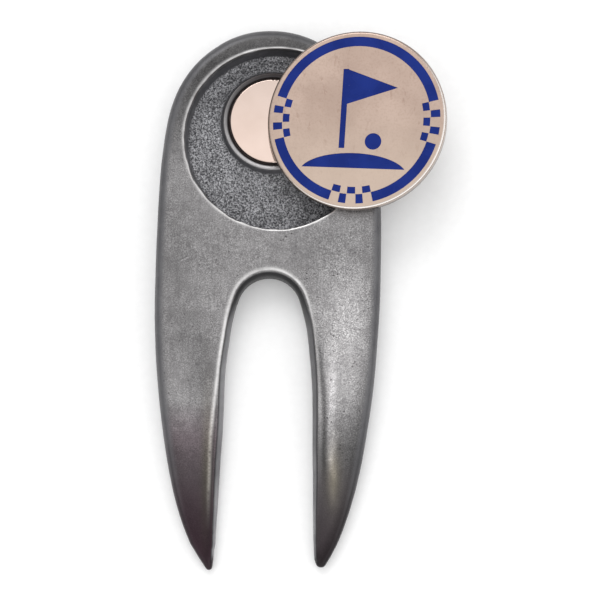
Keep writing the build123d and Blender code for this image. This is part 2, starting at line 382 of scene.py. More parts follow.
# ---------------------------------------------------- small pits and dents
def make_pits():
    r = np.random.default_rng(23)
    pits = []
    while len(pits) < 150:
        p = np.array([r.uniform(-14.5, 14.5), r.uniform(-50, 13)])
        soft = 0.55 if p[0] < -6 and p[1] < -12 else 1.0
        pits.append((p[0], p[1], r.uniform(0.10, 0.19), r.uniform(0.018, 0.046) * soft))
    # longer dents: (x, y, angle, length, half width, depth)
    dents = [(-11.55, -17.2, 0.45, 1.1, 0.16, 0.060), (7.4, -14.2, -0.9, 0.8, 0.12, 0.05),
             (9.9, -16.6, -0.6, 0.9, 0.12, 0.05), (-12.4, -40.5, -0.5, 1.0, 0.14, 0.06),
             (-10.0, -43.9, 0.1, 0.5, 0.14, 0.05), (8.75, -44.5, 0.2, 0.8, 0.12, 0.07),
             (8.85, -45.8, 0.5, 0.6, 0.12, 0.06), (-4.9, -16.4, 0.0, 0.3, 0.14, 0.06),
             (10.6, -30.5, 0.3, 0.4, 0.15, 0.05), (-8.3, -23.6, 0.0, 0.3, 0.16, 0.05)]
    for x, y, a, length, hw, dp in dents:
        for f in np.linspace(-0.5, 0.5, max(2, int(length / 0.14))):
            pits.append((x + f * length * math.cos(a), y + f * length * math.sin(a), hw, dp))
    return np.array(pits)


PITS = make_pits()


def pit_relief(p):
    z = np.zeros(len(p))
    for x, y, r, dp in PITS:
        near = np.nonzero((np.abs(p[:, 0] - x) < 2 * r) & (np.abs(p[:, 1] - y) < 2 * r))[0]
        if len(near):
            q = ((p[near, 0] - x) ** 2 + (p[near, 1] - y) ** 2) / (r * r)
            z[near] = np.minimum(z[near], -dp * np.exp(-q * 1.4))
    return z


class Shell:
    """Collects vertices and faces in millimetres."""

    def __init__(self):
        self.v, self.f, self.n = [], [], 0

    def add(self, co, faces):
        self.v.append(np.asarray(co, float))
        self.f.extend([[i + self.n for i in f] for f in faces])
        self.n += len(co)

    def rows(self, rows, closed=True):
        """Quads between rows of points that match one to one."""
        m = len(rows[0])
        faces = []
        for k in range(len(rows) - 1):
            a, b = k * m, (k + 1) * m
            for i in range(m if closed else m - 1):
                j = (i + 1) % m
                faces.append([a + i, a + j, b + j, b + i])
        self.add(np.concatenate(rows), faces)

    def mesh(self, name, weld=0.0004):
        me = bpy.data.meshes.new(name)
        me.from_pydata((np.concatenate(self.v) * MM).tolist(), [], self.f)
        bm = bmesh.new()
        bm.from_mesh(me)
        bmesh.ops.remove_doubles(bm, verts=bm.verts, dist=weld * MM)
        bmesh.ops.dissolve_degenerate(bm, dist=weld * MM * 0.5, edges=bm.edges)
        bmesh.ops.recalc_face_normals(bm, faces=bm.faces)
        bmesh.ops.triangulate(bm, faces=[f for f in bm.faces if len(f.verts) > 3])
        loose = [v for v in bm.verts if not v.link_faces]
        bmesh.ops.delete(bm, geom=loose, context="VERTS")
        bm.to_mesh(me)
        bm.free()
        me.polygons.foreach_set("use_smooth", [True] * len(me.polygons))
        me.update()
        return me


def triangulate(points, loops):
    """Triangles over the points, keeping every edge of the given index loops."""
    edges = []
    for lp in loops:
        edges += [(lp[i - 1], lp[i]) for i in range(len(lp))]
    out, _, faces, orig, _, _ = delaunay_2d_cdt(
        [Vector(p) for p in points], edges, [], 0, 1e-7)
    src = np.array([o[0] if o else -1 for o in orig])
    tris = np.array([f for f in faces if len(f) == 3])
    return src, tris


def circle(c, r, n, z=None, phase=0.0):
    a = np.linspace(0, 2 * math.pi, n, endpoint=False) + phase
    p = np.stack([c[0] + r * np.cos(a), c[1] + r * np.sin(a)], 1)
    if z is None:
        return p
    return np.column_stack([p, np.broadcast_to(z, (n,))])


def hexgrid(x0, x1, y0, y1, s, seed, jitter=0.12):
    ny = int((y1 - y0) / (s * 0.866)) + 1
    nx = int((x1 - x0) / s) + 1
    j, i = np.mgrid[0:ny, 0:nx]
    x = x0 + (i + 0.5 * (j % 2)) * s
    y = y0 + j * s * 0.866
    r = np.random.default_rng(seed)
    p = np.stack([x.ravel(), y.ravel()], 1)
    return p + r.uniform(-1, 1, p.shape) * jitter * s


def build_fork():
    sh = Shell()
    n_rim = 440
    ang = np.linspace(0, 2 * math.pi, n_rim, endpoint=False)
    wob = field(31, 3.0, 3.0)
    # the rim's small round varies a little along its way, as a hand-dressed edge does
    ring = circle(RC, 13.0, n_rim)
    lump = field(32, 1.5, 1.5)
    left = 0.35 + 0.65 * step01(-np.cos(ang), -0.3, 0.5)
    rho = 0.19 + 0.05 * wob(ring) + 0.05 * lump(ring) * left
    rho = np.clip(rho, 0.09, 0.36)
    r_rim = R_TOP + rho + left * (0.035 * wob(ring[::-1]) + 0.030 * lump(ring[::-1]))
    rim = RC + np.stack([np.cos(ang), np.sin(ang)], 1) * r_rim[:, None]

    # ---- face
    frac = 1 - np.cos(np.linspace(0, math.pi / 2, 9))
    pts = [LOOP, rim]
    rows_extra = []
    for f in list(frac[1:]) + [1.12]:
        rows_extra.append((LOOP + LOOP_N * (W_OUT * f)[:, None])[~IS_SLOT])
    slot_fr = [0.12, 0.25, 0.38, 0.46, 0.52, 0.58, 0.64, 0.71, 0.79, 0.88, 1.0, 1.14]
    for f in slot_fr:
        rows_extra.append((LOOP + LOOP_N * (W_SLOT * f)[:, None])[IS_SLOT])
    need_out = [f for f in list(frac[1:]) + [1.12]]
    extra = np.concatenate(rows_extra)
    need = np.concatenate(
        [np.repeat(0, 0)] + [(W_OUT * f)[~IS_SLOT] for f in need_out] + [(W_SLOT * f)[IS_SLOT] for f in slot_fr])
    d_all, _ = distance_to(extra, LOOP, np.ones(len(LOOP), bool))
    ok = (d_all > need * 0.93) & inside(extra, LOOP) & (np.hypot(*(extra - RC).T) > R_TOP + 0.42)
    extra = extra[ok]
    for k, off in enumerate((0.09, 0.22, 0.42)):
        ring = RC + np.stack([np.cos(ang), np.sin(ang)], 1) * (r_rim + off)[:, None]
        d, _ = distance_to(ring, LOOP, np.ones(len(LOOP), bool))
        pts.append(ring[d > 0.35])
    grid = hexgrid(-16, 16, -60, 16, 0.275, 5)
    grid = grid[inside(grid, LOOP)]
    d, w = distance_to(grid, LOOP, ~IS_SLOT)
    ds, ws = distance_to(grid, LOOP, IS_SLOT)
    ok = (d > W_OUT[w] * 1.12 + 0.12) & (ds > W_SLOT[ws] * 1.14 + 0.12) & (np.hypot(*(grid - RC).T) > R_TOP + 0.82)
    grid = grid[ok]
    fine = []
    for x, y, r, dp in PITS:
        fine.append([[x, y]])
        for rr, m in ((0.55, 6), (1.1, 8), (1.7, 9)):
            a = np.arange(m) * 2 * math.pi / m + rr
            fine.append(np.stack([x + rr * r * np.cos(a), y + rr * r * np.sin(a)], 1))
    fine = np.concatenate(fine)
    fine = fine[inside(fine, LOOP)]
    d, w = distance_to(fine, LOOP, ~IS_SLOT)
    ds, ws = distance_to(fine, LOOP, IS_SLOT)
    fine = fine[(d > W_OUT[w] * 1.15 + 0.1) & (ds > W_SLOT[ws] * 1.15 + 0.1) & (np.hypot(*(fine - RC).T) > R_TOP + 0.85)]
    pts += [extra, grid, fine]
    allp = np.concatenate(pts)
    n0 = len(LOOP)
    src, tris = triangulate(allp, [list(range(n0)), list(range(n0, n0 + n_rim))])
    p = allp[src]
    mid = p[tris].mean(1)
    keep = inside(mid, LOOP) & ~inside(mid, rim)
    tris = tris[keep]
    d_out, i_out = distance_to(p, LOOP, ~IS_SLOT)
    d_slot, i_slot = distance_to(p, LOOP, IS_SLOT)
    z = face_height(p, d_out, i_out, d_slot, i_slot)
    z += pit_relief(p) * np.clip(np.minimum(d_out, d_slot) - 0.6, 0, 1)
    # keep loop and rim heights to hand for the walls
    z_of = np.full(len(allp), np.nan)
    z_of[src] = z
    z_loop, z_rim = z_of[:n0], z_of[n0:n0 + n_rim]
    sh.add(np.column_stack([p, z]), tris.tolist())

    # ---- outside wall, back edge and back
    rows = [np.column_stack([LOOP, z_loop])]
    for f in (0.5, 1.0):
        rows.append(np.column_stack([LOOP, z_loop + (BACK_ROUND - z_loop) * f]))
    for a in np.linspace(0, math.pi / 2, 6)[1:]:
        q = LOOP + LOOP_N * (BACK_ROUND * (1 - math.cos(a)))
        rows.append(np.column_stack([q, np.full(n0, BACK_ROUND * (1 - math.sin(a)))]))
    sh.rows(rows)
    edge = rows[-1][:, :2]
    back = hexgrid(-16, 16, -60, 16, 0.62, 6)
    back = back[inside(back, edge)]
    d, _ = distance_to(back, edge, np.ones(n0, bool))
    back = back[d > 0.28]
    allp = np.concatenate([edge, back])
    src, tris = triangulate(allp, [list(range(n0))])
    p = allp[src]
    tris = tris[inside(p[tris].mean(1), edge)]
    sh.add(np.column_stack([p, np.zeros(len(p))]), tris[:, ::-1].tolist())

    # ---- rim, wall and foot of the recess
    wall_n = field(41, 1.6, 1.6)
    rows = []
    cs = np.stack([np.cos(ang), np.sin(ang)], 1)
    for a in np.linspace(0, math.pi / 2, 6):
        r = r_rim - rho * math.sin(a)
        zz = z_rim - rho * (1 - math.cos(a))
        rows.append(np.column_stack([RC + cs * r[:, None], zz]))
    slope = (R_TOP - R_FLOOR) / (4.8 - Z_FLOOR)
    foot = 0.45
    z_hi = z_rim - rho
    r_hi = r_rim - rho
    n_wall = 9
    z_lo = Z_FLOOR + foot
    r_lo = R_FLOOR + slope * foot
    for k in range(1, n_wall + 1):
        f = k / n_wall
        zz = z_hi + (z_lo - z_hi) * f
        r = r_hi + (r_lo - r_hi) * f
        pp = RC + cs * r[:, None]
        r = r + 0.014 * wall_n(pp + np.stack([zz * 3.1, 0 * zz], 1)) * math.sin(math.pi * min(f, 0.999))
        rows.append(np.column_stack([RC + cs * r[:, None], zz]))
    for a in np.linspace(0, math.pi / 2, 8)[1:]:
        r = r_lo - foot * (1 - math.cos(a))
        zz = Z_FLOOR + foot * (1 - math.sin(a))
        rows.append(np.column_stack([RC + cs * r, np.full(n_rim, zz)]))
    sh.rows(rows)
    r_in = r_lo - foot

    # ---- grained floor of the recess
    n_boss = 280
    foot_b = 0.55
    outer_c = RC + cs * r_in
    boss_c = circle(BC, BOSS_FOOT + foot_b, n_boss)
    grid = hexgrid(-13, 14.5, -13.5, 13.5, 0.145, 8, 0.2)
    rr, rb = np.hypot(*(grid - RC).T), np.hypot(*(grid - BC).T)
    grid = grid[(rr < r_in - 0.11) & (rb > BOSS_FOOT + foot_b + 0.11)]
    allp = np.concatenate([outer_c, boss_c, grid])
    src, tris = triangulate(allp, [list(range(n_rim)), list(range(n_rim, n_rim + n_boss))])
    p = allp[src]
    mid = p[tris].mean(1)
    keep = (np.hypot(*(mid - RC).T) < r_in) & ~inside(mid, boss_c)
    tris = tris[keep]
    rr, rb = np.hypot(*(p - RC).T), np.hypot(*(p - BC).T)
    fade = step01(r_in - rr, 0.02, 0.5) * step01(rb - BOSS_FOOT - foot_b, 0.02, 0.7)
    grain = field(51, 0.20, 0.20, cell=0.07, x0=-14, y0=-14, w=29, h=28, band=1.0)
    soft = field(52, 1.4, 1.4, cell=0.12, x0=-14, y0=-14, w=29, h=28)
    g = grain(p)
    z = Z_FLOOR + fade * (0.024 * np.tanh(g * 0.9) + 0.014 * soft(p))
    # a tool mark runs round the floor just inside the wall, at the head end
    th = np.arctan2(p[:, 1], p[:, 0] - RC[0])
    arc = step01(th, 0.55, 1.0) * (1 - step01(th, 1.75, 2.25))
    line = rr - (r_in - 0.30 + 0.05 * soft(p))
    z -= arc * 0.09 * np.exp(-(line / 0.10) ** 2)
    sh.add(np.column_stack([p, z]), tris.tolist())

    # ---- boss, lip and pocket
    def ring_row(r, zz):
        return circle(BC, r, n_boss, zz)

    rows = []
    for a in np.linspace(0, math.pi / 2, 7):
        rows.append(ring_row(BOSS_FOOT + foot_b * (1 - math.sin(a)), Z_FLOOR + foot_b * (1 - math.cos(a))))
    top_r = 0.22
    rows.append(ring_row(BOSS_TOP + 0.08, BOSS_Z - top_r - 0.25))
    for a in np.linspace(0, math.pi / 2, 7):
        rows.append(ring_row(BOSS_TOP - top_r * (1 - math.cos(a)), BOSS_Z - top_r * (1 - math.sin(a))))
    rows.append(ring_row(6.76, BOSS_Z - 0.012))
    for a in np.linspace(0, math.pi / 2, 6):
        rows.append(ring_row(POCKET_R + 0.34 * (1 - math.sin(a)), BOSS_Z - 0.04 - 0.30 * (1 - math.cos(a))))
    for zz in (2.5, 1.7, POCKET_Z):
        rows.append(ring_row(POCKET_R, zz))
    for r in (5.0, 3.0, 1.2):
        rows.append(ring_row(r, POCKET_Z))
    dent = field(61, 1.2, 1.2)
    for row in rows[6:-6]:
        row[:, 2] += 0.014 * dent(row[:, :2])
    sh.rows(rows)
    last = rows[-1]
    sh.add(np.vstack([last, [[BC[0], BC[1], POCKET_Z]]]), [[i, (i + 1) % n_boss, n_boss] for i in range(n_boss)])
    return sh.mesh("fork")


fork_mesh = build_fork()
co = np.zeros(len(fork_mesh.vertices) * 3)
fork_mesh.vertices.foreach_get("co", co)
co = co.reshape(-1, 3) / MM

# ------------------------------------------------ finish masks and painted light and shade, by place
P2 = co[:, :2]
D_OUT, I_OUT = distance_to(P2, LOOP, ~IS_SLOT)
D_SLOT, I_SLOT = distance_to(P2, LOOP, IS_SLOT)
RR, RB = np.hypot(*(P2 - RC).T), np.hypot(*(P2 - BC).T)
Z = co[:, 2]


def put(mesh, name, values):
    a = mesh.attributes.new(name, "FLOAT", "POINT")
    a.data.foreach_set("value", np.asarray(values, np.float32))


in_recess = (RR < R_TOP + 0.30) * (Z > 0.6)
wall_dark = in_recess * step01(R_TOP + 0.02 - RR, 0.0, 0.14)
TH_R = np.arctan2(co[:, 1], co[:, 0] - RC[0])
# painted highlight along the recess rim, whose edge is also rubbed bright
rim_highlight_w = 0.11 + 0.10 * step01(-np.cos(TH_R), 0.0, 0.8)
rim_wear_highlight = np.exp(-((RR - (R_TOP + 0.13)) / rim_highlight_w) ** 2) * (Z > 4.0) * (0.82 - 0.34 * step01(-np.cos(TH_R), 0.0, 0.8))
arch_k = step01(P2[:, 1], -27.5, -21.5) * (np.abs(P2[:, 0]) < 8)
AT = -P2[:, 1]
RIGHT = step01(P2[:, 0] - SLOT_X, -1.0, 1.0)
# painted highlights along the slot edges, stronger on the left prong; the edges are also rubbed bright
line_l = np.interp(AT, [19, 25, 27, 30, 33, 35.5, 38, 41, 44, 46.5, 49, 52, 56],
                   [0.84, 0.80, 0.80, 0.86, 0.90, 1.05, 1.30, 1.48, 1.44, 1.33, 1.30, 1.14, 0.90])
line_r = np.interp(AT, [19, 23, 27, 30, 36, 41, 46], [0.86, 0.98, 0.90, 0.95, 0.97, 1.04, 1.04])
power_l = np.interp(AT, [22, 24, 28, 34, 38, 41, 44, 46.5, 49, 52, 54.5], [0.66, 0.76, 0.98, 0.84, 0.84, 0.64, 0.44, 0.50, 0.46, 0.16, 0.0])
power_r = np.interp(AT, [20, 23, 26, 28, 36, 41, 44, 47], [0.88, 0.60, 0.36, 0.20, 0.16, 0.08, 0.03, 0.0])
line_at = line_l * (1 - RIGHT) + line_r * RIGHT
slot_edge_highlight = np.exp(-((D_SLOT - line_at) / 0.21) ** 2) * (Z > 1.0) * (power_l * (1 - RIGHT) + power_r * RIGHT)
# painted shade: a dark line along the slot, where the edge turns down into the wall
slot_line = np.exp(-((D_SLOT - (0.53 - 0.22 * arch_k) * W_SLOT[I_SLOT]) / 0.12) ** 2) * (Z > 1.0)
slot_line *= 0.8 + 0.25 * arch_k
# painted shade: low on the left prong a wider dark band lies between the wall and the bright line
shade_band_at = np.interp(AT, [35, 38, 41, 49, 52], [0.80, 0.92, 1.02, 0.98, 0.84])
slot_shade_band = np.exp(-((D_SLOT - shade_band_at) / 0.26) ** 2) * (Z > 0.8) * (1 - RIGHT) * step01(AT, 34.5, 39.0)
slot_line = np.maximum(slot_line, 0.52 * slot_shade_band * (1 - 0.55 * step01(AT, 47.0, 54.0)))
front = step01(Z, 0.36, 0.60)
boss_top = step01(RB, 6.42, 6.60) * (RB < BOSS_TOP + 0.2) * step01(Z, BOSS_Z - 0.45, BOSS_Z - 0.12)
TH_B = np.arctan2(co[:, 1] - BC[1], co[:, 0] - BC[0])
boss_lit = np.clip(0.5 + 0.5 * np.cos(TH_B + 2.0), 0, 1) ** 1.5      # painted light: brighter toward the lower left, darker opposite
# painted shade in the gap between the boss lip and the magnet
boss_gap_shade = (RB < BOSS_TOP) * (1 - step01(RB, 6.40, 6.62))
floor_mask = in_recess * (1 - step01(Z, Z_FLOOR + 0.12, Z_FLOOR + 0.5)) * (RB > BOSS_FOOT)
shoulder = 1 - step01(D_OUT, 0.48 * W_OUT[I_OUT], 1.12 * W_OUT[I_OUT])
slot_band = 1 - step01(D_SLOT, (0.50 - 0.12 * arch_k) * W_SLOT[I_SLOT], (0.66 - 0.14 * arch_k) * W_SLOT[I_SLOT])


def tone_with_painted_shade(p):
    """How much darker or brighter the surface is painted from place to place, as a log factor: painted shade round the
    head and toward the prong ends, painted highlights and darker patches on the prongs.
    """
    x, y = p[:, 0], p[:, 1]
    t = -0.10 - 1.42 * step01(y, -7.0, 11.0)                          # painted shade round the head, where the face turns away from the light
    t -= 0.12 * step01(-x, 8.5, 13.5) * (1 - step01(y, -6.0, 8.5))
    t += 0.10 * step01(-y, 17.0, 24.0)
    t -= 0.10 * step01(-x, 2.0, 8.0) * step01(-y, 8.0, 13.0) * (1 - step01(-y, 17.0, 24.0))
    # painted shade toward the prong ends
    t -= 0.45 * step01(-y, 36.0, 44.0) + np.interp(-y, [42, 47, 53, 57], [0.0, 0.36, 0.90, 1.10]) + 0.25 * step01(-y, 41.0, 47.0) * step01(-x, 0.0, 3.0)
    zones = [(11.0, -25.0, 2.6, 8.0, 0.44),     # painted highlight: a brighter patch on the right prong
             (11.2, -32.5, 2.4, 4.5, 0.22),
             (9.05, -36.5, 0.48, 4.6, 0.60),    # painted highlight: a bright strip on the right prong's inner side
             (8.95, -42.2, 0.42, 2.0, 0.58),
             (9.42, -46.9, 0.40, 2.6, 0.92),
             (10.4, -53.0, 0.9, 3.0, 0.22),
             (10.9, -42.5, 1.3, 3.0, -0.16),
             (-9.9, -30.5, 2.2, 4.2, -0.40),    # a darker patch on the left prong
             (-11.9, -33.0, 1.3, 3.5, 0.12),
             (-13.2, -20.0, 1.6, 7.0, -0.10),
             (9.9, -15.7, 3.0, 2.5, -0.24),
             (-10.3, -37.5, 1.8, 2.4, 0.10),
             (-12.1, -33.4, 1.3, 2.3, 0.27),
             (-8.3, -39.5, 0.9, 4.0, -0.26),
             (-12.8, -43.0, 0.9, 3.5, -0.22),
             (-3.0, -15.5, 4.0, 2.0, 0.04)]
    for cx, cy, sx, sy, amp in zones:
        lively = 1 + 0.16 * ripple(p) if sx < 0.7 else 1.0
        t += amp * lively * np.exp(-0.5 * (((x - cx) / sx) ** 2 + ((y - cy) / sy) ** 2))
    return np.exp(t)


def right_flank_shade(p):
    """Painted shade along the outside of the right prong."""
    d, _ = distance_to(p, LOOP, ~IS_SLOT)
    y = -p[:, 1]
    k = step01(p[:, 0], 4.0, 8.0) * step01(y, 10.0, 24.0)
    reach = 1 - step01(d, 0.5, 3.4 - 1.2 * step01(y, 38.0, 50.0))
    return np.exp(-(0.20 + 0.45 * step01(y, 28.0, 38.0)) * k * reach)


def zone(p, cx, cy, sx, sy):
    return np.exp(-0.5 * (((p[:, 0] - cx) / sx) ** 2 + ((p[:, 1] - cy) / sy) ** 2))


side_k = step01(P2[:, 0] - SLOT_X, -1.0, 1.0)
# painted shade: a darker band along the slot side of the right prong
slot_dip_shade_at = np.interp(AT, [28, 32.5, 35, 38, 41, 44], [1.34, 1.36, 1.46, 1.60, 1.60, 1.50])
slot_dip_shade = side_k * np.exp(-((D_SLOT - slot_dip_shade_at) / 0.34) ** 2) * step01(AT, 26.5, 30.5) * (1 - step01(AT, 43.0, 50.0))
# tone carries the painted shade and highlights above; the back is a flat 0.72
put(fork_mesh, "tone", tone_with_painted_shade(P2) * np.exp(-0.85 * slot_dip_shade) * right_flank_shade(P2) * front + 0.72 * (1 - front))
put(fork_mesh, "gold", np.clip(zone(P2, 9.5, -47.3, 0.75, 3.0) + 0.8 * zone(P2, -7.95, -46.0, 0.5, 6.0), 0, 1) * front)
# painted reflection: a violet tint toward the prong ends
left_v = np.interp(-P2[:, 1], [37, 42, 47, 53, 57], [0.0, 0.38, 0.42, 0.80, 1.0])
right_v = np.interp(-P2[:, 1], [44, 48, 53, 57], [0.0, 0.15, 0.30, 0.42])
put(fork_mesh, "violet", np.where(P2[:, 0] < 0, left_v, right_v) * front)
put(fork_mesh, "grit", np.clip(0.35 + 0.65 * zone(P2, 11.0, -27.0, 3.5, 11.0) + 0.2 * zone(P2, 4, -15, 8, 4), 0, 1))
put(fork_mesh, "recess", np.clip(wall_dark - boss_top, 0, 1))
put(fork_mesh, "floor", np.clip(floor_mask, 0, 1))
# bright lines on the rim and slot edges: rubbed metal, painted brighter as highlights
put(fork_mesh, "worn_and_lit", np.clip(rim_wear_highlight + slot_edge_highlight, 0, 1))
# painted light: the slot wall on the left prong is painted lighter, and the right wall near the prong ends
put(fork_mesh, "lit_slot_wall", np.clip((1 - side_k) * step01(-P2[:, 1], 22.0, 27.0) * (1 - 0.35 * step01(-P2[:, 1], 38.0, 46.0)) + 0.35 * side_k * step01(-P2[:, 1], 40.0, 47.0), 0, 1))
put(fork_mesh, "boss", np.clip(boss_top, 0, 1))
put(fork_mesh, "lit", boss_lit)
put(fork_mesh, "arch", np.clip(arch_k, 0, 1))
# large, faint patches on the recess floor, and the dull ring inside its wall at the head end
patch = field(81, 2.6, 2.6)(P2)
th = np.arctan2(P2[:, 1], P2[:, 0] - RC[0])
dull = step01(th, 1.3, 2.0) * (1 - step01(th, 2.7, 3.1)) * np.exp(-((RB - 8.3) / 1.0) ** 2)
put(fork_mesh, "patch", np.clip(0.66 + 0.07 * patch + 0.022 * P2[:, 1] - 0.40 * dull, 0, 1))
put(fork_mesh, "shoulder", np.clip(shoulder, 0, 1) * (in_recess < 0.5))
put(fork_mesh, "slotband", np.clip(slot_band * (1 - step01(AT, 57.5, 58.7)), 0, 1))
put(fork_mesh, "slotline", np.clip(slot_line, 0, 1))
put(fork_mesh, "gap", np.clip(boss_gap_shade * (Z > 0.6), 0, 1))
fork = bpy.data.objects.new("fork", fork_mesh)
scene.collection.objects.link(fork)
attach(fork, "tool")
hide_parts("fork_body")
print("FORK", len(fork_mesh.vertices), len(fork_mesh.polygons))


def build_adhesive():
    """The bed under the magnet and the ring round it, with a sagging, uneven top."""
    sh = Shell()
    n = 220
    sag = field(71, 1.0, 1.0)
    r_out, r_in = POCKET_R - 0.01, 6.01
    rows = [circle(BC, r, n, POCKET_Z + 0.01) for r in (2.0, 4.5, r_out - 0.05)]
    rows += [circle(BC, r_out, n, zz) for zz in (POCKET_Z + 0.06, 1.7, 2.3)]
    for f in np.linspace(0, 1, 7):
        r = r_out + (r_in - r_out) * f
        row = circle(BC, r, n, 2.78 - 0.14 * math.sin(math.pi * f))
        row[:, 2] += 0.035 * sag(row[:, :2]) * (0.4 + 0.6 * math.sin(math.pi * f))
        rows.append(row)
    rows += [circle(BC, r_in, n, zz) for zz in (2.2, 1.6, POCKET_Z + 0.10)]
    rows += [circle(BC, r, n, POCKET_Z + 0.10) for r in (4.5, 2.0)]
    sh.rows(rows)
    for row, up in ((rows[0], -1), (rows[-1], 1)):
        tri = [[i, (i + 1) % n, n][::up] for i in range(n)]
        sh.add(np.vstack([row, [[BC[0], BC[1], row[0, 2]]]]), tri)
    return sh.mesh("adhesive")


adhesive = bpy.data.objects.new("adhesive", build_adhesive())
scene.collection.objects.link(adhesive)
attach(adhesive, "tool")
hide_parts("magnet_adhesive")


# =====================================================================
# Materials
# =====================================================================
class Mat:
    def __init__(self, name):
        self.m = bpy.data.materials.new(name)
        self.m.use_nodes = True
        self.t = self.m.node_tree
        self.b = self.t.nodes["Principled BSDF"]
        self.co = self.t.nodes.new("ShaderNodeTexCoord").outputs["Object"]

    def put(self, sock, v):
        if isinstance(v, bpy.types.NodeSocket):
            self.t.links.new(v, sock)
        elif isinstance(v, (tuple, list)) and len(v) == 3 and sock.type == "RGBA":
            sock.default_value = (*v, 1)
        else:
            sock.default_value = v

    def node(self, kind, ins=(), **props):
        n = self.t.nodes.new(kind)
        for k, v in props.items():
            setattr(n, k, v)
        for k, v in dict(ins).items():
            self.put(n.inputs[k], v)
        return n

    def stretch(self, s, rot=(0, 0, 0), loc=(0, 0, 0)):
        n = self.node("ShaderNodeMapping", {"Vector": self.co, "Scale": s, "Rotation": rot, "Location": loc})
        return n.outputs[0]

    def noise(self, scale, detail=2.0, rough=0.5, vec=None, dist=0.0):
        n = self.node("ShaderNodeTexNoise", {"Vector": vec or self.co, "Scale": scale, "Detail": detail,
                                             "Roughness": rough, "Distortion": dist})
        return n.outputs["Fac"]

    def cells(self, scale, vec=None, feature="F1"):
        n = self.node("ShaderNodeTexVoronoi", {"Vector": vec or self.co, "Scale": scale}, feature=feature)
        return n.outputs["Distance"]

    def range(self, v, a, b, c=0.0, d=1.0, kind="SMOOTHSTEP"):
        n = self.node("ShaderNodeMapRange", {"Value": v, "From Min": a, "From Max": b, "To Min": c, "To Max": d},
                      interpolation_type=kind)
        return n.outputs[0]

    def math(self, op, a, b=0.0, clamp=False):
        n = self.t.nodes.new("ShaderNodeMath")
        n.operation = op
        n.use_clamp = clamp
        self.put(n.inputs[0], a)
        self.put(n.inputs[1], b)
        return n.outputs[0]

    def mix(self, f, a, b, blend="MIX"):
        n = self.t.nodes.new("ShaderNodeMix")
        n.data_type = "RGBA"
        n.blend_type = blend
        self.put(n.inputs[0], f)
        self.put(n.inputs[6], a)
        self.put(n.inputs[7], b)
        return n.outputs[2]

    def attr(self, name):
        n = self.t.nodes.new("ShaderNodeAttribute")
        n.attribute_name = name
        return n.outputs["Fac"]

    def axis(self, k):
        n = self.node("ShaderNodeSeparateXYZ", {0: self.co})
        return n.outputs[k]

    def bump(self, height, distance, strength=1.0, normal=None):
        ins = {"Height": height, "Distance": distance, "Strength": strength}
        if normal is not None:
            ins["Normal"] = normal
        return self.node("ShaderNodeBump", ins).outputs[0]

    def set(self, **kw):
        for k, v in kw.items():
            self.put(self.b.inputs[k.replace("_", " ")], v)
        return self.m


